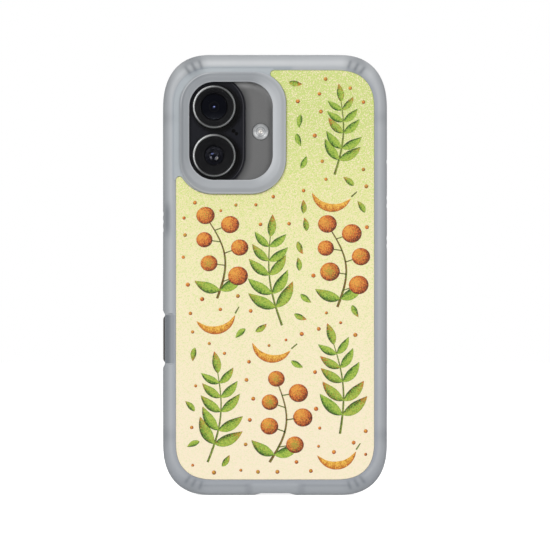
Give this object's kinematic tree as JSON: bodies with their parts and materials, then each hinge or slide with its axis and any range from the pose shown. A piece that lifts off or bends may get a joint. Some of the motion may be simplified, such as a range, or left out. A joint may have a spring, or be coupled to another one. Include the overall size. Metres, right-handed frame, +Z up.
{
  "type": "smartphone in protective case",
  "caption": "Smartphone in a translucent soft-edged protective cover with a printed back, raised camera guard, pressing side buttons and an open charging port.",
  "frame": {"origin": "middle of the overall box at its lowest level, under the bottom end on which it stands", "axes": "+X to the right as the back is seen, +Y out of the screen, +Z up from the charging port end"},
  "size_m": [0.0786, 0.014, 0.1547],
  "materials": {
    "soft_shell": "translucent frosted grey thermoplastic, satin",
    "control_strip": "dark grey touch-sensitive strip, matte",
    "panel": "opaque pale rigid plastic",
    "print": "printed film, speckled green above to cream below, with sprigs and fruit",
    "frame_metal": "anodised dark grey, bead blasted",
    "rear_glass": "grey back-painted glass, satin etched",
    "island_glass": "black glass, polished",
    "lens_metal": "turned ring, satin grey",
    "lens_glass": "coated clear lens cover",
    "black_plastic": "black moulded plastic",
    "flash_lens": "frosted diffuser, pale",
    "circuit_board": "green solder mask",
    "screen_glass": "black screen, switched off, polished",
    "display": "black display panel",
    "gasket": "black foam adhesive",
    "battery_wrap": "black film wrap",
    "shield_metal": "tinned sheet, satin",
    "copper": "wound copper wire",
    "magnet": "plated magnets",
    "port_metal": "drawn steel shell",
    "flex": "amber film",
    "screw_steel": "small machined screws"
  },
  "bodies": {
    "handset": {"bumper_frame": "soft_shell", "back_plate": "panel", "print_film": "print", "phone_frame": "frame_metal", "rear_glass": "rear_glass", "camera_island": "island_glass", "upper_lens_ring": "lens_metal", "lower_lens_ring": "lens_metal", "upper_lens_glass": "lens_glass", "lower_lens_glass": "lens_glass", "upper_camera_module": "black_plastic", "lower_camera_module": "black_plastic", "flash_lens": "flash_lens", "flash_board": "circuit_board", "front_glass": "screen_glass", "display_panel": "display", "display_gasket": "gasket", "front_camera_module": "black_plastic", "earpiece_speaker": "black_plastic", "battery": "battery_wrap", "logic_board": "circuit_board", "board_shield": "shield_metal", "charging_coil": "copper", "magnet_ring": "magnet", "vibration_motor": "shield_metal", "bottom_speaker": "black_plastic", "lower_microphone": "shield_metal", "usb_connector": "port_metal", "port_flex_cable": "flex", "left_button_flex": "flex", "right_button_flex": "flex", "bottom_screw_left": "screw_steel", "bottom_screw_right": "screw_steel", "board_screw_1": "screw_steel", "board_screw_2": "screw_steel", "board_screw_3": "screw_steel", "board_screw_4": "screw_steel"},
    "side_button": {"side_button_cover": "soft_shell", "side_key": "frame_metal"},
    "camera_control": {"camera_control_cover": "control_strip", "camera_control_key": "frame_metal"},
    "action_button": {"action_button_cover": "soft_shell", "action_key": "frame_metal"},
    "volume_up_button": {"volume_up_cover": "soft_shell", "volume_up_key": "frame_metal"},
    "volume_down_button": {"volume_down_cover": "soft_shell", "volume_down_key": "frame_metal"}
  },
  "joints": [
    {"name": "side_button_press", "type": "slide", "parent": "handset", "child": "side_button", "axis": [1, 0, 0], "range_m": [0, 0.0003], "stiffness_N_per_m": 300, "springref_m": -0.0005},
    {"name": "camera_control_press", "type": "slide", "parent": "handset", "child": "camera_control", "axis": [1, 0, 0], "range_m": [0, 0.0003], "stiffness_N_per_m": 300, "springref_m": -0.0005},
    {"name": "action_button_press", "type": "slide", "parent": "handset", "child": "action_button", "axis": [-1, 0, 0], "range_m": [0, 0.0003], "stiffness_N_per_m": 300, "springref_m": -0.0005},
    {"name": "volume_up_press", "type": "slide", "parent": "handset", "child": "volume_up_button", "axis": [-1, 0, 0], "range_m": [0, 0.0003], "stiffness_N_per_m": 300, "springref_m": -0.0005},
    {"name": "volume_down_press", "type": "slide", "parent": "handset", "child": "volume_down_button", "axis": [-1, 0, 0], "range_m": [0, 0.0003], "stiffness_N_per_m": 300, "springref_m": -0.0005}
  ]
}
